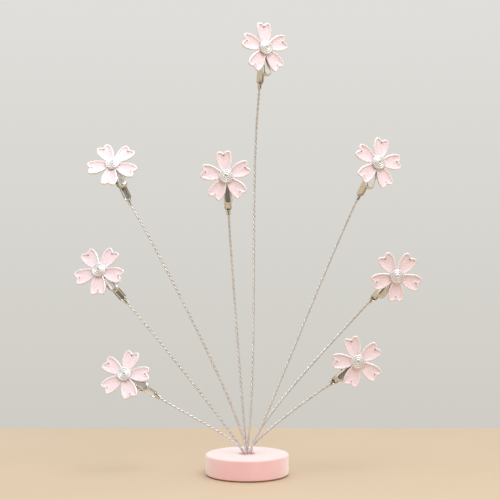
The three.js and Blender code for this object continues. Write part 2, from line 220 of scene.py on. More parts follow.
# Colours in display values from 0 to 255; tones are a darker and a lighter one
PAINT_TONES = ((240, 180, 182), (245, 189, 191))
FOAM_TONES = ((188, 128, 106), (206, 148, 126))
RESIN_TONES = ((222, 160, 154), (236, 180, 174))
NICKEL_TONES = ((208, 205, 198), (226, 223, 217))
RIM_TONES = ((236, 230, 232), (244, 239, 241))
CAP_TONES = ((222, 222, 222), (236, 236, 236))
STEEL_TONES = ((158, 155, 150), (180, 177, 172))
WIRE_TONES = ((206, 206, 205), (226, 226, 225))
FLOOR_TONES = ((192, 172, 146), (197, 178, 153))
ENAMEL_CLOUD_TONES = ((252, 248, 249), (255, 255, 255))
# painted shade of a small pit by each petal's notch; the pit has no shape of its own
PIT_SHADE_COLOUR = (150, 124, 126)
BLACK = (0, 0, 0)
WHITE = (255, 255, 255)

# Enamel colours by the distance from the blossom's outline, as a share of half a petal's width; the deeper
# pink stop at the foot of the rim wall is painted shade, where the rim would shade the enamel
ENAMEL_RIM_SHADE_STOPS = (
    (0.7 * FIELD_START / PETAL_HALF, (242, 228, 233)),
    (FIELD_START / PETAL_HALF, (239, 214, 220)),
    (1.6 * FIELD_START / PETAL_HALF, (242, 225, 231)),
)

# View: the camera's place, and its focal length in pixels of a square frame
CAMERA_PLACE = (1.72 * MM, -686 * MM, 135.5 * MM)
FOCAL_PIXELS = 1134.6
FRAME_PIXELS = 500
SENSOR = 36
CLIP_START = 0.01

# Table top, in metres
FLOOR_HALF = 1.2
FLOOR_NEAR = -0.75
FLOOR_FAR = 0.178
FLOOR_LEVEL = -0.0002
FLOOR_CLOUD = 0.25

# Lamps, all aimed at the middle of the fan: place, size, power and colour
LAMP_TARGET = (0, 0, 0.14)
LAMPS = {
    "overhead": ((0.16, -0.4, 0.78), (0.6, 0.35), 3.65, (0.97, 0.98, 1.0)),
    "top": ((0, 0.22, 1.05), (2.0, 1.0), 7.2, (1.0, 0.99, 0.98)),
    "right_fill": ((0.95, -0.85, 0.55), (1.6, 1.4), 3.8, (1.0, 0.95, 0.89)),
    "left_fill": ((-1.05, -0.5, 0.5), (1.2, 0.9), 2.7, (0.96, 0.98, 1.0)),
}

# Surroundings: colours by how far a direction points up, and shares by how far it points back
FULL_SPAN = (-1, 1)
WALL_SPAN = (-0.2, 0.3)
WALL_STOPS = ((-0.16, (207, 204, 197)), (0.2, (224, 222, 218)))
ROOM_STOPS = (
    (-0.5, (110, 92, 74)),
    (-0.05, (176, 164, 151)),
    (0.3, (193, 189, 184)),
    (0.8, (200, 199, 197)),
)
VIEWER_STOPS = ((-0.1, (140, 124, 108)), (0.05, (112, 102, 94)), (0.5, (158, 153, 148)))
ASIDE_STOPS = ((-0.97, BLACK), (-0.75, WHITE))
BEHIND_STOPS = ((-0.25, BLACK), (0.45, WHITE))


def srgb(red, green, blue):
    """A colour given in display values from 0 to 255, as the linear values that the shaders take."""
    linear = []
    for channel in (red, green, blue):
        share = channel / 255
        linear.append(share / 12.92 if share <= 0.04045 else ((share + 0.055) / 1.055) ** 2.4)
    return (*linear, 1)


# Materials
def fill_ramp(node, stops):
    """Gives a colour ramp its stops, each a place from 0 to 1 and a colour in display values."""
    elements = node.color_ramp.elements
    while len(elements) < len(stops):
        elements.new(0.5)
    for element, (place, colour) in zip(elements, stops):
        element.position = place
        element.color = srgb(*colour)


class Shader:
    """A material under construction: its Principled shader and the nodes that feed it."""

    def __init__(self, name, **settings):
        self.material = bpy.data.materials.new(name)
        self.material.use_nodes = True
        self.tree = self.material.node_tree
        self.principled = self.tree.nodes["Principled BSDF"]
        for socket, value in settings.items():
            self.principled.inputs[socket.replace("_", " ")].default_value = value
        self.place = self.tree.nodes.new("ShaderNodeTexCoord").outputs["Object"]

    def link(self, source, node, socket):
        self.tree.links.new(source, node.inputs[socket])

    def feed(self, source, socket):
        self.link(source, self.principled, socket)

    def noise(self, size, detail=3):
        """Noise whose features are about as large as the size given in metres."""
        node = self.tree.nodes.new("ShaderNodeTexNoise")
        node.inputs["Scale"].default_value = 1 / size
        node.inputs["Detail"].default_value = detail
        self.link(self.place, node, "Vector")
        return node.outputs["Fac"]

    def cells(self, size):
        node = self.tree.nodes.new("ShaderNodeTexVoronoi")
        node.inputs["Scale"].default_value = 1 / size
        self.link(self.place, node, "Vector")
        return node.outputs["Distance"]

    def attribute(self, name):
        node = self.tree.nodes.new("ShaderNodeAttribute")
        node.attribute_name = name
        return node.outputs["Fac"]

    def distance(self, name, spot):
        """Distance of a named vector attribute from a spot."""
        attribute = self.tree.nodes.new("ShaderNodeAttribute")
        attribute.attribute_name = name
        node = self.tree.nodes.new("ShaderNodeVectorMath")
        node.operation = "DISTANCE"
        node.inputs[1].default_value = spot
        self.link(attribute.outputs["Vector"], node, 0)
        return node.outputs["Value"]

    def ranged(self, source, low, high, from_low=NOISE_LOW, from_high=NOISE_HIGH):
        node = self.tree.nodes.new("ShaderNodeMapRange")
        node.inputs["From Min"].default_value = from_low
        node.inputs["From Max"].default_value = from_high
        node.inputs["To Min"].default_value = low
        node.inputs["To Max"].default_value = high
        self.link(source, node, "Value")
        return node.outputs["Result"]

    def ramp(self, source, stops):
        """Colours along a value from 0 to 1."""
        node = self.tree.nodes.new("ShaderNodeValToRGB")
        fill_ramp(node, stops)
        self.link(source, node, "Fac")
        return node.outputs["Color"]

    def toned(self, noise, tones):
        """Colours along a noise, from the darker tone to the lighter one."""
        return self.ramp(noise, list(zip((NOISE_LOW, NOISE_HIGH), tones)))

    def multiplied(self, share, first, second):
        """One colour times another, as far as the share says; the second may be a plain colour."""
        node = self.tree.nodes.new("ShaderNodeMix")
        node.data_type = "RGBA"
        node.blend_type = "MULTIPLY"
        self.link(share, node, "Factor")
        self.link(first, node, MIX_FIRST)
        if isinstance(second, tuple):
            node.inputs[MIX_SECOND].default_value = srgb(*second)
        else:
            self.link(second, node, MIX_SECOND)
        return node.outputs[MIX_RESULT]

    def bump(self, height, strength, distance):
        node = self.tree.nodes.new("ShaderNodeBump")
        node.inputs["Strength"].default_value = strength
        node.inputs["Distance"].default_value = distance
        self.link(height, node, "Height")
        self.feed(node.outputs["Normal"], "Normal")


def paint_material():
    shader = Shader(
        "satin_pink_paint",
        Coat_Weight=1.0,
        Coat_Roughness=0.25,
        Sheen_Weight=1.0,
        Sheen_Roughness=0.7,
    )
    shader.feed(shader.toned(shader.noise(9 * MM, detail=4), PAINT_TONES), "Base Color")
    shader.feed(shader.ranged(shader.noise(2.5 * MM), low=0.34, high=0.46), "Roughness")
    shader.bump(shader.noise(0.8 * MM, detail=2), strength=0.12, distance=0.05 * MM)
    return shader.material


def foam_material():
    shader = Shader("pad_foam", Specular_IOR_Level=0.2, Roughness=0.92)
    shader.feed(shader.toned(shader.noise(1 * MM), FOAM_TONES), "Base Color")
    shader.bump(shader.cells(0.45 * MM), strength=0.6, distance=0.12 * MM)
    return shader.material


def resin_material():
    shader = Shader("potting_resin", Coat_Weight=0.4, Coat_Roughness=0.15)
    shader.feed(shader.toned(shader.noise(1.5 * MM), RESIN_TONES), "Base Color")
    shader.feed(shader.ranged(shader.noise(1 * MM), low=0.25, high=0.42), "Roughness")
    shader.bump(shader.noise(1.2 * MM), strength=0.25, distance=0.1 * MM)
    return shader.material


def metal_material(name, tones, roughness, waviness, grain, metallic=1.0):
    """Plated metal: tone, roughness and waviness that change over a few millimetres, and a fine grain."""
    shader = Shader(name, Metallic=metallic)
    shader.feed(shader.toned(shader.noise(3 * MM, detail=4), tones), "Base Color")
    shader.feed(shader.ranged(shader.noise(grain, detail=4), *roughness), "Roughness")
    shader.bump(shader.noise(2.2 * MM, detail=2), strength=waviness, distance=0.06 * MM)
    return shader.material


def enamel_material():
    """Pink enamel with painted shade: deeper pink at the foot of each rim wall, and a dark spot by each
    petal's notch as the shade of a pit that is not shaped.
    """
    shader = Shader("pink_enamel", Coat_Weight=0.25, Coat_Roughness=0.2, Roughness=0.42)
    # painted shade: the ramp darkens the enamel at the foot of the rim wall, where the rim's shade falls
    rim_shaded_enamel = shader.ramp(shader.attribute("edge"), ENAMEL_RIM_SHADE_STOPS)
    # painted shade: a dark spot by each notch stands in for the shade inside a pit that is not shaped
    off_pit = shader.distance("petal", (0, PETAL_PIT, 0))
    pit = shader.ranged(off_pit, low=1, high=0, from_low=PETAL_PIT_CORE, from_high=PETAL_PIT_RADIUS)
    pit_shaded = shader.multiplied(pit, rim_shaded_enamel, PIT_SHADE_COLOUR)
    cloud = shader.toned(shader.noise(2.5 * MM), ENAMEL_CLOUD_TONES)
    full = shader.ranged(shader.noise(4 * MM), low=0.8, high=1.0)
    shader.feed(shader.multiplied(full, pit_shaded, cloud), "Base Color")
    shader.bump(shader.noise(1.6 * MM, detail=1), strength=0.05, distance=0.05 * MM)
    return shader.material


# Meshes
def add_piece(name, points, faces, *materials):
    mesh = bpy.data.meshes.new(name)
    mesh.from_pydata([tuple(point) for point in points], [], [tuple(face) for face in faces])
    for material in materials:
        mesh.materials.append(material)
    mesh.shade_smooth()
    piece = bpy.data.objects.new(name, mesh)
    bpy.context.scene.collection.objects.link(piece)
    return piece


def weld(piece):
    """Joins points that coincide and turns all faces outward."""
    edit = bmesh.new()
    edit.from_mesh(piece.data)
    bmesh.ops.remove_doubles(edit, verts=edit.verts, dist=WELD_REACH)
    bmesh.ops.recalc_face_normals(edit, faces=edit.faces)
    edit.to_mesh(piece.data)
    edit.free()
    return piece


def placed(points, place):
    """Points in a clip's own axes, moved to where the clip is."""
    matrix = np.array(place)
    return np.asarray(points) @ matrix[:3, :3].T + matrix[:3, 3]


def grid_faces(rows, columns, closed):
    """Quads over a grid of points stored row by row; a closed grid joins its last column to its first."""
    span = columns if closed else columns - 1
    faces = []
    for row in range(rows - 1):
        start = row * columns
        above = start + columns
        for column in range(span):
            following = (column + 1) % columns
            faces.append((start + column, start + following, above + following, above + column))
    return faces


def arc(centre, radius, start, end, steps):
    """Points [x, y] along an arc, with the angles in degrees."""
    angles = np.radians(np.linspace(start, end, steps + 1))
    return [(centre[0] + radius * math.cos(a), centre[1] + radius * math.sin(a)) for a in angles]


def turned(name, profile, sides, place, material):
    """A profile of (radius, height) pairs, from the axis round to the axis, turned about the place's Z."""
    angles = np.linspace(0, 2 * math.pi, sides, endpoint=False)
    ring = np.stack([np.cos(angles), np.sin(angles)], axis=1)
    points = [(*(radius * spot), height) for radius, height in profile for spot in ring]
    piece = add_piece(name, placed(points, place), grid_faces(len(profile), sides, True), material)
    return weld(piece)


def along(path):
    """Unit tangents along a path."""
    tangents = np.gradient(path, axis=0)
    return tangents / np.linalg.norm(tangents, axis=1)[:, None]


def carried(tangents):
    """A normal at each tangent, turned as little as possible from one to the next."""
    normal = np.cross(tangents[0], (0.0, 1.0, 0.0))
    if np.linalg.norm(normal) < NEARLY_PARALLEL:
        normal = np.cross(tangents[0], (1.0, 0.0, 0.0))
    normals = []
    for tangent in tangents:
        normal = normal - tangent * (normal @ tangent)
        normal = normal / np.linalg.norm(normal)
        normals.append(normal)
    return np.array(normals)


def tube(path, normals, radius, sides):
    """Points and faces of a round wire along a path, with flat ends."""
    binormals = np.cross(along(path), normals)
    angles = np.linspace(0, 2 * math.pi, sides, endpoint=False)
    sideways = np.cos(angles)[None, :, None] * normals[:, None]
    upward = np.sin(angles)[None, :, None] * binormals[:, None]
    points = (path[:, None] + radius * (sideways + upward)).reshape(-1, 3)
    faces = grid_faces(len(path), sides, True)
    faces.append(tuple(range(sides))[::-1])
    faces.append(tuple(range(len(points) - sides, len(points))))
    return points, faces


# What the frame says about each arm
def node_points(name):
    mesh = frame["nodes"][name].data
    points = np.empty(len(mesh.vertices) * 3, np.float32)
    mesh.vertices.foreach_get("co", points)
    return points.reshape(-1, 3).astype(float)


def clip_place(joint, arm):
    """The clip's own axes at its pivot: X along the pin, Y to the jaw tips, Z out through the blossom."""
    flower = node_points(f"flower_{arm}")
    rivet = node_points(f"flower_rivet_{arm}")
    pivot = np.array(joint["pos_m"])
    outward = np.linalg.svd(flower - flower.mean(0))[2][2]
    if (rivet.mean(0) - flower.mean(0)) @ outward < 0:
        outward = -outward
    pin = np.array(joint["axis"])
    pin = pin / np.linalg.norm(pin)
    forward = np.cross(outward, pin)
    if (flower.mean(0) - pivot) @ forward < 0:
        pin, forward = -pin, -forward
    place = np.eye(4)
    place[:3] = np.stack([pin, forward, outward, pivot], axis=1)
    return Matrix(place.tolist())


def petal_spin(place, arm):
    """How far the blossom is turned on its clip, read from the valleys between its petals."""
    flower = placed(node_points(f"flower_{arm}"), place.inverted())
    spots = flower[:, 0] + 1j * (flower[:, 1] - FLOWER_OFFSET)
    valleys = spots[np.abs(np.abs(spots) - PETAL_VALLEY) < READING_REACH]
    first_valley = math.pi / 2 + math.pi / PETALS
    return np.angle(np.mean((valleys / np.abs(valleys) * np.exp(-1j * first_valley)) ** PETALS)) / PETALS


def stem_knots(node):
    """The middle of each ring of a stem's solid, from its foot to its tip."""
    points, spot_of = np.unique(np.round(node_points(node), READING_DECIMALS), axis=0, return_inverse=True)
    spot_of = spot_of.ravel()
    neighbours = [set() for _ in points]
    for edge in frame["nodes"][node].data.edges:
        first, second = (int(spot_of[vertex]) for vertex in edge.vertices)
        neighbours[first].add(second)
        neighbours[second].add(first)
    foot = points[:, 2].min()
    ring = {spot for spot in range(len(points)) if points[spot, 2] < foot + READING_REACH}
    seen = set()
    knots = []
    while ring:
        seen |= ring
        knots.append(points[sorted(ring)].mean(0))
        ring = set().union(*(neighbours[spot] for spot in ring)) - seen
    return np.array(knots)


def smooth_line(knots, step):
    """Points at even steps along a smooth curve through the knots."""
    lengths = np.linalg.norm(np.diff(knots, axis=0), axis=1)[:, None]
    slopes = np.diff(knots, axis=0) / lengths
    inner = (slopes[:-1] * lengths[1:] + slopes[1:] * lengths[:-1]) / (lengths[:-1] + lengths[1:])
    headings = np.concatenate([slopes[:1], inner, slopes[-1:]])
    share = np.linspace(0, 1, KNOT_STEPS, endpoint=False)[:, None]
    stretches = []
    for index, length in enumerate(lengths):
        start, end = knots[index], knots[index + 1]
        leaving = (share**3 - 2 * share**2 + share) * headings[index]
        arriving = (share**3 - share**2) * headings[index + 1]
        bend = leaving + arriving
        stretches.append(start + (end - start) * (3 * share**2 - 2 * share**3) + bend * length)
    fine = np.concatenate([*stretches, knots[-1:]])
    run = np.concatenate([[0], np.cumsum(np.linalg.norm(np.diff(fine, axis=0), axis=1))])
    even = np.linspace(0, run[-1], int(run[-1] / step) + 1)
    return np.stack([np.interp(even, run, fine[:, axis]) for axis in range(3)], axis=1)


# Base, pad and plug
def build_base(material):
    low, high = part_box("base")
    radius = (high.x - low.x) / 2
    height = high.z - low.z
    floor = height - SOCKET_DEPTH
    edge = BASE_EDGE_ROUNDING
    foot = BASE_FOOT_ROUNDING
    lip = SOCKET_EDGE_ROUNDING
    profile = [
        (0, 0),
        (radius / 2, 0),
        *arc((radius - foot, foot), foot, -90, 0, BASE_FOOT_STEPS),
        (radius, height / 3),
        (radius, height * 2 / 3),
        *arc((radius - edge, height - edge), edge, 0, 90, BASE_EDGE_STEPS),
        (radius * 2 / 3, height),
        *arc((SOCKET_RADIUS + lip, height - lip), lip, 90, 180, SOCKET_EDGE_STEPS),
        (SOCKET_RADIUS, floor),
        (0, floor),
    ]
    base = turned("base_puck", profile, BASE_SIDES, Matrix.Translation((0, 0, low.z)), material)
    base.data.set_sharp_from_angle(angle=CREASE)
    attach(base, "stand")
    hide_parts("base")


def build_pad(material):
    low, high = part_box("foot_pad")
    radius = (high.x - low.x) / 2
    height = high.z - low.z
    rounding = PAD_ROUNDING
    profile = [
        (0, 0),
        *arc((radius - rounding, rounding), rounding, -90, 0, PAD_EDGE_STEPS),
        *arc((radius - rounding, height - rounding), rounding, 0, 90, PAD_EDGE_STEPS),
        (0, height),
    ]
    pad = turned("foot_pad_foam", profile, PAD_SIDES, Matrix.Translation((0, 0, low.z)), material)
    pad.data.set_sharp_from_angle(angle=CREASE)
    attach(pad, "stand")
    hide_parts("foot_pad")


def build_plug(feet, material):
    """The plug's top creeps up each wire that stands in it."""
    low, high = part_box("socket_plug")
    radius = (high.x - low.x) / 2
    rings = np.linspace(radius, PLUG_MIDDLE, PLUG_RINGS)
    angles = np.linspace(0, 2 * math.pi, PLUG_SIDES, endpoint=False)
    points = [(radius * math.cos(a), radius * math.sin(a), low.z) for a in angles]
    for ring in rings:
        for angle in angles:
            spot = np.array([ring * math.cos(angle), ring * math.sin(angle)])
            creep = 0
            for foot in feet:
                gap = max(np.linalg.norm(spot - foot[:2]) - WIRE_RADIUS, 0)
                creep = max(creep, math.exp(-gap / PLUG_MENISCUS_REACH))
            rim = math.exp(-(radius - ring) / PLUG_MENISCUS_REACH)
            lift = PLUG_MENISCUS * max(creep, PLUG_RIM_CREEP * rim)
            points.append((*spot, high.z + lift - PLUG_MENISCUS / 2))
    faces = grid_faces(len(rings) + 1, len(angles), True)
    count = len(angles)
    faces.append(tuple(range(count))[::-1])
    faces.append(tuple(range(len(points) - count, len(points))))
    plug = weld(add_piece("socket_resin", points, faces, material))
    plug.data.set_sharp_from_angle(angle=STEEP_CREASE)
    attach(plug, "stand")
    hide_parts("socket_plug")


# Wires
def build_wire(arm, knots, material):
    """Two strands laid round each other, left-handed, along the stem's middle line."""
    path = smooth_line(knots, STRAND_STEP)
    normals = carried(along(path))
    binormals = np.cross(along(path), normals)
    turn = -2 * math.pi * STRAND_STEP / TWIST_PITCH * np.arange(len(path))[:, None]
    sideways = np.cos(turn) * normals + np.sin(turn) * binormals
    points = []
    faces = []
    for side in (1, -1):
        strand = path + side * (WIRE_RADIUS - STRAND_RADIUS) * sideways
        strand_points, strand_faces = tube(strand, side * sideways, STRAND_RADIUS, STRAND_SIDES)
        faces += [tuple(index + len(points) for index in face) for face in strand_faces]
        points += list(strand_points)
    wire = add_piece(f"twisted_wire_{arm}", points, faces, material)
    wire.data.set_sharp_from_angle(angle=STEEP_CREASE)
    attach(wire, "stand")
    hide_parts(f"stem_{arm}")


# Clip sheet metal
def bite_corners(angle, side):
    """Corners (y, z) of a jaw's toothed edge from its shoulder to its tip."""
    pitch = (JAW_LENGTH - JAW_SHOULDER) / TOOTH_COUNT
    corners = [(JAW_SHOULDER, 0)]
    for tooth in range(TOOTH_COUNT):
        corners.append((JAW_SHOULDER + (tooth + TOOTH_PEAK) * pitch, TOOTH_DEPTH / 2))
        corners.append((JAW_SHOULDER + (tooth + TOOTH_DIP) * pitch, -TOOTH_DEPTH / 2))
    spots = []
    for reach, lift in corners:
        lift = lift + side * BITE_GAP / 2
        spots.append((
            reach * math.cos(angle) - lift * math.sin(angle),
            reach * math.sin(angle) + lift * math.cos(angle),
        ))
    return spots


def finer(edge, step):
    """Adds points between the corners of an edge, so that none are further apart than the step."""
    points = [edge[0]]
    for start, end in zip(edge, edge[1:]):
        pieces = max(1, math.ceil(math.dist(start, end) / step))
        stride = np.subtract(end, start)
        points += [tuple(np.add(start, stride * share / pieces)) for share in range(1, pieces + 1)]
    return points


def half_section(spine, edge_spot, inward, face, wall_end):
    """One half of a channel's section, from the plate's middle over the bend to the wall's free edge."""
    side = 1 if wall_end > face else -1
    wall = abs(wall_end - face)
    bend = min(BEND_RADIUS, WALL_BEND_SHARE * wall)
    flat = np.add(edge_spot, np.multiply(inward, bend))
    section = [(*np.add(spine, (flat - spine) * share), face) for share in FLAT_SHARES]
    for angle in np.radians(BEND_ANGLES):
        spot = np.add(edge_spot, np.multiply(inward, bend * (1 - math.sin(angle))))
        section.append((*spot, face + side * bend * (1 - math.cos(angle))))
    for share in WALL_SHARES:
        section.append((*edge_spot, face + side * (bend + (wall - bend) * share)))
    return section


def sheet_piece(name, sections, thickness, place, material):
    """Half sections lofted into one sheet, mirrored across the clip and given its thickness inward."""
    rows = len(sections)
    columns = len(sections[0])
    right = np.array(sections).reshape(-1, 3)
    left = right * (-1, 1, 1)
    faces = grid_faces(rows, columns, False)
    faces += [tuple(index + len(right) for index in face[::-1]) for face in grid_faces(rows, columns, False)]
    piece = weld(add_piece(name, placed(np.concatenate([right, left]), place), faces, material))
    centre = Vector(placed([(0, 0, 0)], place)[0])
    widest = max(piece.data.polygons, key=lambda face: face.area)
    if widest.normal.dot(widest.center - centre) < 0:
        piece.data.flip_normals()
    solid = piece.modifiers.new("sheet", "SOLIDIFY")
    solid.thickness = thickness
    solid.offset = -1
    bevel = piece.modifiers.new("edges", "BEVEL")
    bevel.width = EDGE_BEVEL
    bevel.segments = BEVEL_SEGMENTS
    bevel.limit_method = "ANGLE"
    bevel.angle_limit = CREASE
    bevel.harden_normals = True
    return piece


def eased(share):
    return share * share * (3 - 2 * share)


def stepped_half(y, stations):
    """A half width that eases between stations of (y, half width), listed from the tip backward."""
    for (y0, half0), (y1, half1) in zip(stations, stations[1:]):
        if y >= y1:
            share = min(max((y - y1) / (y0 - y1), 0), 1)
            return half1 + (half0 - half1) * eased(share)
    return stations[-1][1]


def lever_half(y):
    return stepped_half(y, [
        (JAW_LENGTH, JAW_TIP_HALF),
        (JAW_SHOULDER, JAW_HALF),
        (-LEVER_NECK, JAW_HALF),
        (LEVER_END_RADIUS - LEVER_LENGTH, LEVER_END_RADIUS),
    ])


def side_section(y, wall_end, half, face):
    return half_section((0, y), (half, y), (-1, 0), face, wall_end)


def jaw_half(y):
    return stepped_half(y, [
        (JAW_LENGTH, JAW_TIP_HALF),
        (JAW_SHOULDER, JAW_HALF),
        (JAW_SHOULDER - (EAR_HALF - JAW_HALF), EAR_HALF),
        (-TAIL_EAR_LENGTH, EAR_HALF),
        (-TAIL_NECK, TAIL_HALF),
        (TAIL_SHOULDER - TAIL_LENGTH, TAIL_HALF),
        (-TAIL_LENGTH, CRIMP_RADIUS),
    ])


def lever_sections():
    """The front jaw from its tip past the ears to the rounded thumb end."""
    ear = arc((0, 0), EAR_RADIUS, 180, 360 + math.degrees(LEVER_BITE), EAR_STEPS)
    tip = (JAW_LENGTH, LEVER_RISE - JAW_TIP_THICKNESS + BITE_GAP / 2)
    wall_edge = finer([*ear, *bite_corners(LEVER_BITE, 1), tip], EDGE_STEP)[::-1]
    end_centre = LEVER_END_RADIUS - LEVER_LENGTH
    drop = (LEVER_RISE - LEVER_LIP) / (EAR_RADIUS - LEVER_LENGTH)
    sections = []
    for y, z in wall_edge:
        sections.append(side_section(y, z, lever_half(y), LEVER_RISE))
    for y in np.linspace(-EAR_RADIUS, end_centre, LEVER_STEPS)[1:-1]:
        sections.append(side_section(y, drop * (y + EAR_RADIUS), lever_half(y), LEVER_RISE))
    for angle in np.radians(np.linspace(0, 90, THUMB_STEPS)):
        inward = (-math.cos(angle), math.sin(angle))
        spot = (LEVER_END_RADIUS * math.cos(angle), end_centre - LEVER_END_RADIUS * math.sin(angle))
        wall_end = drop * (spot[1] + EAR_RADIUS)
        sections.append(half_section((0, end_centre), spot, inward, LEVER_RISE, wall_end))
    return sections


def rolled_section(y, rows):
    """The crimp: the sheet rolled round the wire, with one pressed waist."""
    share = (-TAIL_LENGTH - y) / CRIMP_LENGTH
    waist = 1 - CRIMP_DENT * math.sin(math.pi * min(max(share, 0), 1)) ** 2
    radius = CRIMP_RADIUS * waist
    angles = np.linspace(0, math.pi - CRIMP_SEAM, rows)
    middle = CRIMP_RADIUS - TAIL_DROP
    return np.array([(radius * math.sin(a), y, middle - radius * math.cos(a)) for a in angles])


def jaw_sections():
    """The rear jaw from its tip past the ears along the tail, and on into the crimp."""
    wall_top = TAIL_WALL - TAIL_DROP
    slope_start = (-EAR_RADIUS - TAIL_NECK) / 2
    ear = arc((0, 0), EAR_RADIUS, 180, -math.degrees(TAIL_BITE), EAR_STEPS)
    tip = (JAW_LENGTH, JAW_TIP_THICKNESS - TAIL_DROP - BITE_GAP / 2)
    front_edge = [(slope_start, wall_top), *ear, *bite_corners(-TAIL_BITE, -1), tip]
    sections = []
    for y, z in finer(front_edge, EDGE_STEP)[::-1]:
        sections.append(side_section(y, z, jaw_half(y), -TAIL_DROP))
    for y in np.linspace(slope_start, -TAIL_LENGTH + CRIMP_ROLL / 2, TAIL_STEPS)[1:]:
        sections.append(side_section(y, wall_top, jaw_half(y), -TAIL_DROP))
    rows = len(sections[0])
    open_end = np.array(sections[-1])
    roll_start = open_end[0][1]
    for y in np.linspace(roll_start, roll_start - CRIMP_ROLL, ROLL_STEPS)[1:]:
        share = eased((roll_start - y) / CRIMP_ROLL)
        channel = open_end.copy()
        channel[:, 1] = y
        sections.append(channel * (1 - share) + rolled_section(y, rows) * share)
    crimp_end = -TAIL_LENGTH + SHEET - CRIMP_LENGTH
    for y in np.linspace(roll_start - CRIMP_ROLL, crimp_end, CRIMP_STEPS)[1:]:
        sections.append(rolled_section(y, rows))
    return sections


def build_clip_sheets(arm, place, material):
    lever = sheet_piece(f"front_jaw_{arm}", lever_sections(), SHEET, place, material)
    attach(lever, f"clip_{arm}")
    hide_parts(f"clip_lever_{arm}")
    rear_place = place @ Matrix.Rotation(LEVER_BITE + TAIL_BITE, 4, "X")
    jaw = sheet_piece(f"rear_jaw_{arm}", jaw_sections(), JAW_SHEET, rear_place, material)
    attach(jaw, "stand")
    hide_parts(f"clip_jaw_{arm}")


# Pin and spring
def build_pin(arm, place, material):
    reach = EAR_HALF + PIN_END_PLAY
    dome_height = PIN_HEAD_HEIGHT - PIN_HEAD_EDGE
    dome = [
        (PIN_HEAD_RADIUS * math.cos(a), reach + PIN_HEAD_EDGE + dome_height * math.sin(a))
        for a in np.linspace(0, math.pi / 2, PIN_DOME_STEPS)
    ]
    top = [(PIN_RADIUS, reach), (PIN_HEAD_RADIUS - PIN_HEAD_CHAMFER, reach), *dome]
    profile = [(radius, -height) for radius, height in top[::-1]] + top
    sideways = place @ Matrix.Rotation(math.pi / 2, 4, "Y")
    pin = turned(f"hinge_pin_{arm}", profile, PIN_SIDES, sideways, material)
    pin.data.set_sharp_from_angle(angle=CREASE)
    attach(pin, "stand")
    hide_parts(f"pivot_pin_{arm}")


def spring_path():
    """One leg along the tail, the coil round the pin and one leg along the lever, in the clip's own axes."""
    radius = PIN_RADIUS + SPRING_COIL_GAP + SPRING_WIRE_RADIUS
    half = JAW_HALF - SHEET - RUNNING_GAP - SPRING_WIRE_RADIUS
    clear = SHEET + RUNNING_GAP + SPRING_WIRE_RADIUS
    tail_end = complex(-SPRING_LEG_REACH, clear - TAIL_DROP) * np.exp(1j * (LEVER_BITE + TAIL_BITE))
    lever_end = complex(-SPRING_LEG_REACH, LEVER_RISE - clear)
    full = 2 * math.pi
    start = np.angle(tail_end) % full + math.acos(radius / abs(tail_end))
    stop = np.angle(lever_end) % full - math.acos(radius / abs(lever_end)) + full * (SPRING_TURNS + 1)
    steps = round((stop - start) / full * SPRING_STEPS_PER_TURN)
    coil = []
    for share in np.linspace(0, 1, steps + 1):
        angle = start + (stop - start) * share
        coil.append((half * (1 - 2 * share), radius * math.cos(angle), radius * math.sin(angle)))
    tail_leg = np.linspace((half, tail_end.real, tail_end.imag), coil[0], SPRING_LEG_STEPS)[:-1]
    lever_leg = np.linspace(coil[-1], (-half, lever_end.real, lever_end.imag), SPRING_LEG_STEPS)[1:]
    return np.concatenate([tail_leg, coil, lever_leg]), radius


def build_spring(arm, place, material):
    path, radius = spring_path()
    world_path = placed(path, place)
    points, faces = tube(world_path, carried(along(world_path)), SPRING_WIRE_RADIUS, SPRING_SIDES)
    spring = add_piece(f"coil_spring_{arm}", points, faces, material)
    spring.data.set_sharp_from_angle(angle=STEEP_CREASE)
    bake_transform(spring)
    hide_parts(f"clip_spring_{arm}")


# Blossom
def petal_right_half():
    """The right half of a petal that points along +Y, from the valley beside it to its notch."""
    half_turn = math.pi / PETALS
    valley = np.array([PETAL_VALLEY * math.sin(half_turn), PETAL_VALLEY * math.cos(half_turn)])
    shoulder = (PETAL_BELLY + FLOWER_RADIUS) / 2
    lobe_pull = (PETAL_LOBE + 2 * PETAL_HALF) / 3
    notch_pull = (FLOWER_RADIUS + NOTCH_RADIUS) / 2
    belly = (PETAL_HALF, PETAL_BELLY)
    lobe = (PETAL_LOBE, FLOWER_RADIUS)
    curves = [
        (
            valley,
            ((valley[0] + PETAL_HALF) / 2, (2 * valley[1] + PETAL_BELLY) / 3),
            (PETAL_HALF, (2 * PETAL_BELLY + valley[1]) / 3),
            belly,
        ),
        (belly, (PETAL_HALF, shoulder), (lobe_pull, FLOWER_RADIUS), lobe),
        (lobe, (PETAL_LOBE / 2, FLOWER_RADIUS), (PETAL_LOBE / 5, notch_pull), (0, NOTCH_RADIUS)),
    ]
    share = np.linspace(0, 1, PETAL_STEPS, endpoint=False)[:, None]
    points = []
    for start, first, second, end in (map(np.array, curve) for curve in curves):
        points.append(
            start * (1 - share) ** 3 + 3 * first * share * (1 - share) ** 2
            + 3 * second * share**2 * (1 - share) + end * share**3
        )
    return np.concatenate([*points, [(0, NOTCH_RADIUS)]])


def blossom_loop():
    """The blossom's outline and, for each of its points, the spot it faces on its petal's middle line."""
    right = petal_right_half()
    run = np.concatenate([[0], np.cumsum(np.linalg.norm(np.diff(right, axis=0), axis=1))])
    spine = np.stack([np.zeros(len(run)), PETAL_SPINE * run / run[-1]], axis=1)
    petal = np.concatenate([right, (right * (-1, 1))[-2:0:-1]])
    petal_spine = np.concatenate([spine, spine[-2:0:-1]])
    outline = []
    middles = []
    for turn in 2 * math.pi * np.arange(PETALS) / PETALS:
        rotation = np.array([(math.cos(turn), math.sin(turn)), (-math.sin(turn), math.cos(turn))])
        outline.append(petal @ rotation)
        middles.append(petal_spine @ rotation)
    return np.concatenate(outline), np.concatenate(middles)


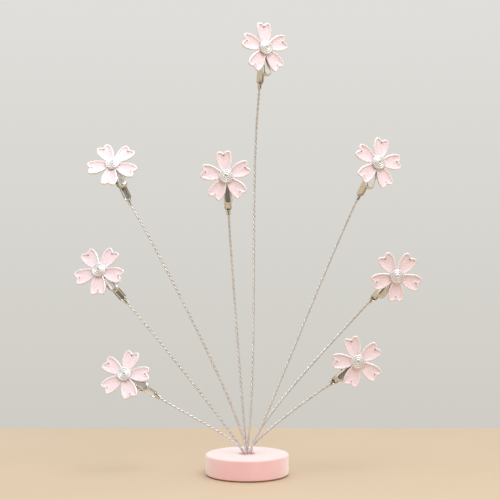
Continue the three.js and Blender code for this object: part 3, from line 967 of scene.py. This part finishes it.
def outline_distance(spots, outline):
    """How far each spot is from the nearest side of a closed outline."""
    sides = np.roll(outline, -1, axis=0) - outline
    lengths = (sides**2).sum(1)
    distances = []
    for spot in spots:
        offsets = spot - outline
        share = np.clip((offsets * sides).sum(1) / lengths, 0, 1)
        distances.append(np.linalg.norm(offsets - sides * share[:, None], axis=1).min())
    return np.array(distances)


def relief(distances):
    """Height of the blossom's front over its back: a round rim, a step down and a shallow dish of enamel."""
    climb = 1 - np.minimum(distances / RIM_ROUND, 1)
    fall = eased(np.clip((distances - RIM_CREST) / (FIELD_START - RIM_CREST), 0, 1))
    sink = 1 - (1 - np.clip((distances - FIELD_START) / (PETAL_HALF - FIELD_START), 0, 1)) ** 2
    outer = RIM_SIDE + (RIM_HEIGHT - RIM_SIDE) * np.sqrt(1 - climb**2)
    return np.where(climb > 0, outer, RIM_HEIGHT - (RIM_HEIGHT - FIELD_HEIGHT) * fall - FIELD_DISH * sink)


def blossom_rows():
    """Closed rows of points from the back's middle over the edge to the front's middle.

    With them come the heights of the rows at the back and the number of rows that are bare metal.
    """
    outline, middles = blossom_loop()
    reach = np.linalg.norm(middles - outline, axis=1)[:, None]
    heading = (middles - outline) / reach
    back_edge = outline + heading * BACK_ROUNDING
    rows = [back_edge + (middles - back_edge) * share for share in BACK_SHARES]
    heights = [0] * len(rows)
    for distance, height in arc((BACK_ROUNDING, BACK_ROUNDING), BACK_ROUNDING, 270, 180, BACK_STEPS):
        rows.append(outline + heading * distance)
        heights.append(height)
    steps = [RIM_ROUND * (1 - math.cos(a)) for a in np.linspace(0, math.pi / 2, RIM_STEPS)]
    steps += [RIM_CREST, RIM_METAL, *np.linspace(RIM_METAL, FIELD_START, SLOPE_STEPS)[1:]]
    metal_rows = len(rows) + steps.index(RIM_METAL) + 1
    for distance in steps:
        rows.append(outline + heading * distance * np.minimum(1, RIM_SHARE * reach / FIELD_START))
    field_edge = rows[-1]
    rows += [field_edge + (middles - field_edge) * share for share in FIELD_SHARES]
    return rows, heights, metal_rows


def blossom_shape():
    """The blossom in its own axes: points, faces, the slot of each face and what the enamel needs to know."""
    rows, back_heights, metal_rows = blossom_rows()
    count = len(rows[0])
    spots = np.concatenate(rows)
    distances = outline_distance(spots, blossom_loop()[0])
    heights = relief(distances)
    heights[:len(back_heights) * count] = np.repeat(back_heights, count)
    turns = 2 * math.pi / PETALS * np.tile(np.arange(count) // (count // PETALS), len(rows))
    across = np.cos(turns) * spots[:, 0] + np.sin(turns) * spots[:, 1]
    outward = np.cos(turns) * spots[:, 1] - np.sin(turns) * spots[:, 0]
    return {
        "points": np.column_stack([spots, FLOWER_BACK + heights]),
        "faces": grid_faces(len(rows), count, True),
        "slots": np.repeat((np.arange(len(rows) - 1) >= metal_rows - 1).astype(np.int32), count),
        "edge": (distances / PETAL_HALF).astype(np.float32),
        "petal": np.column_stack([across, outward, np.zeros(len(spots))]).astype(np.float32),
    }


def build_blossom(arm, place, spin, shape, metal, enamel):
    """A plate with a round rim and sunk fields, enamelled in front."""
    turn = Matrix.Translation((0, FLOWER_OFFSET, 0)) @ Matrix.Rotation(spin, 4, "Z")
    points = placed(shape["points"], place @ turn)
    blossom = add_piece(f"blossom_{arm}", points, shape["faces"], metal, enamel)
    blossom.data.polygons.foreach_set("material_index", shape["slots"])
    edge = blossom.data.attributes.new("edge", "FLOAT", "POINT")
    edge.data.foreach_set("value", shape["edge"])
    petal = blossom.data.attributes.new("petal", "FLOAT_VECTOR", "POINT")
    petal.data.foreach_set("vector", shape["petal"].ravel())
    weld(blossom)
    blossom.data.set_sharp_from_angle(angle=STEEP_CREASE)
    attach(blossom, f"clip_{arm}")
    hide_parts(f"flower_{arm}")


def build_cap(arm, place, material):
    """The rivet: a cap of rounded rings with a pit on top, its shank and its clinched end."""
    clinch = [
        (CLINCH_RADIUS * math.sin(a), CLINCH_TOP - CLINCH_HEIGHT * math.cos(a))
        for a in np.linspace(0, math.pi / 2, CLINCH_STEPS)
    ]
    profile = [*clinch, (SHANK_RADIUS, CLINCH_TOP), (SHANK_RADIUS, CAP_SEAT), (CAP_SEAT_RADIUS, CAP_SEAT)]
    ring_width = (CAP_RADIUS - CAP_PIT_RADIUS) / CAP_RINGS
    ring_rise = (CAP_HEIGHT - CAP_RING_BULGE - CAP_SKIRT) / CAP_RINGS
    for ring in range(CAP_RINGS):
        for share in np.linspace(0, 1, CAP_RING_STEPS):
            radius = CAP_RADIUS - (ring + share) * ring_width
            bulge = CAP_RING_BULGE * math.sin(math.pi * share) ** CAP_RING_FULLNESS
            height = CAP_SKIRT + (ring + share) * ring_rise + bulge
            profile.append((radius, CAP_SEAT + height))
    pit = CAP_SEAT + CAP_SKIRT + CAP_RINGS * ring_rise
    for share, depth in CAP_PIT_STEPS:
        profile.append((CAP_PIT_RADIUS * share, pit - depth))
    middle = place @ Matrix.Translation((0, FLOWER_OFFSET, 0))
    cap = turned(f"ringed_cap_{arm}", profile, CAP_SIDES, middle, material)
    cap.data.set_sharp_from_angle(angle=STEEP_CREASE)
    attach(cap, f"clip_{arm}")
    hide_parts(f"flower_rivet_{arm}")


# Stage
def build_camera():
    data = bpy.data.cameras.new("camera")
    data.sensor_width = SENSOR
    data.lens = FOCAL_PIXELS / FRAME_PIXELS * SENSOR
    data.clip_start = CLIP_START
    camera = bpy.data.objects.new("camera", data)
    camera.location = CAMERA_PLACE
    camera.rotation_euler = (math.pi / 2, 0, 0)
    bpy.context.scene.collection.objects.link(camera)
    bpy.context.scene.camera = camera


def build_floor():
    """A table top whose far edge stands a little behind the base, against the pale wall."""
    corners = [
        (-FLOOR_HALF, FLOOR_NEAR, FLOOR_LEVEL),
        (FLOOR_HALF, FLOOR_NEAR, FLOOR_LEVEL),
        (FLOOR_HALF, FLOOR_FAR, FLOOR_LEVEL),
        (-FLOOR_HALF, FLOOR_FAR, FLOOR_LEVEL),
    ]
    shader = Shader("pale_floor", Roughness=0.55, Specular_IOR_Level=0.3)
    shader.feed(shader.toned(shader.noise(FLOOR_CLOUD), FLOOR_TONES), "Base Color")
    floor = add_piece("floor", corners, [(0, 1, 2, 3)], shader.material)


def add_lamp(name, place, size, power, colour):
    data = bpy.data.lights.new(name, "AREA")
    data.shape = "RECTANGLE"
    data.size, data.size_y = size
    data.energy = power
    data.color = colour
    lamp = bpy.data.objects.new(name, data)
    lamp.location = place
    lamp.rotation_euler = (Vector(LAMP_TARGET) - Vector(place)).to_track_quat("-Z", "Y").to_euler()
    bpy.context.scene.collection.objects.link(lamp)


def build_world():
    """A pale wall behind the object, a darker patch where the viewer is, and round them a room."""
    world = bpy.data.worlds.new("studio")
    world.use_nodes = True
    tree = world.node_tree
    axes = tree.nodes.new("ShaderNodeSeparateXYZ")
    tree.links.new(tree.nodes.new("ShaderNodeTexCoord").outputs["Generated"], axes.inputs["Vector"])

    def blended(axis, span, stops):
        """Colours along one axis of a direction, within a span of its values."""
        low, high = span
        share = tree.nodes.new("ShaderNodeMapRange")
        share.inputs["From Min"].default_value = low
        share.inputs["From Max"].default_value = high
        tree.links.new(axes.outputs[axis], share.inputs["Value"])
        ramp = tree.nodes.new("ShaderNodeValToRGB")
        fill_ramp(ramp, [((spot - low) / (high - low), colour) for spot, colour in stops])
        tree.links.new(share.outputs["Result"], ramp.inputs["Fac"])
        return ramp.outputs["Color"]

    def mixed(share, first, second):
        mix = tree.nodes.new("ShaderNodeMix")
        mix.data_type = "RGBA"
        tree.links.new(share, mix.inputs["Factor"])
        tree.links.new(first, mix.inputs[MIX_FIRST])
        tree.links.new(second, mix.inputs[MIX_SECOND])
        return mix.outputs[MIX_RESULT]

    wall = blended("Z", WALL_SPAN, WALL_STOPS)
    room = blended("Z", FULL_SPAN, ROOM_STOPS)
    viewer = blended("Z", FULL_SPAN, VIEWER_STOPS)
    aside = blended("Y", FULL_SPAN, ASIDE_STOPS)
    behind = blended("Y", FULL_SPAN, BEHIND_STOPS)
    colour = mixed(behind, mixed(aside, viewer, room), wall)
    tree.links.new(colour, tree.nodes["Background"].inputs["Color"])
    bpy.context.scene.world = world


build_camera()
build_floor()
build_world()
for name, lamp in LAMPS.items():
    add_lamp(name, *lamp)

nickel = metal_material("plated_nickel", NICKEL_TONES, (0.1, 0.2), waviness=0.15, grain=1.5 * MM)
rim_metal = metal_material("satin_rim", RIM_TONES, (0.3, 0.42), waviness=0.1, grain=1.2 * MM, metallic=0.5)
cap_metal = metal_material("satin_cap", CAP_TONES, (0.32, 0.42), waviness=0.1, grain=1.2 * MM, metallic=0.65)
steel = metal_material("spring_steel", STEEL_TONES, (0.22, 0.34), waviness=0.2, grain=0.8 * MM)
galvanised = metal_material("drawn_wire", WIRE_TONES, (0.42, 0.56), waviness=0.3, grain=0.7 * MM)
enamel = enamel_material()

joints = {joint["child"].removeprefix("clip_"): joint for joint in frame["joints"]}
shape = blossom_shape()
knots = {arm: stem_knots(f"stem_{arm}") for arm in joints}

build_base(paint_material())
build_pad(foam_material())
build_plug([line[0] for line in knots.values()], resin_material())
for arm, joint in joints.items():
    place = clip_place(joint, arm)
    build_wire(arm, knots[arm], galvanised)
    build_clip_sheets(arm, place, nickel)
    build_pin(arm, place, nickel)
    build_spring(arm, place, steel)
    build_blossom(arm, place, petal_spin(place, arm), shape, rim_metal, enamel)
    build_cap(arm, place, cap_metal)

bpy.context.scene.view_settings.view_transform = "Standard"
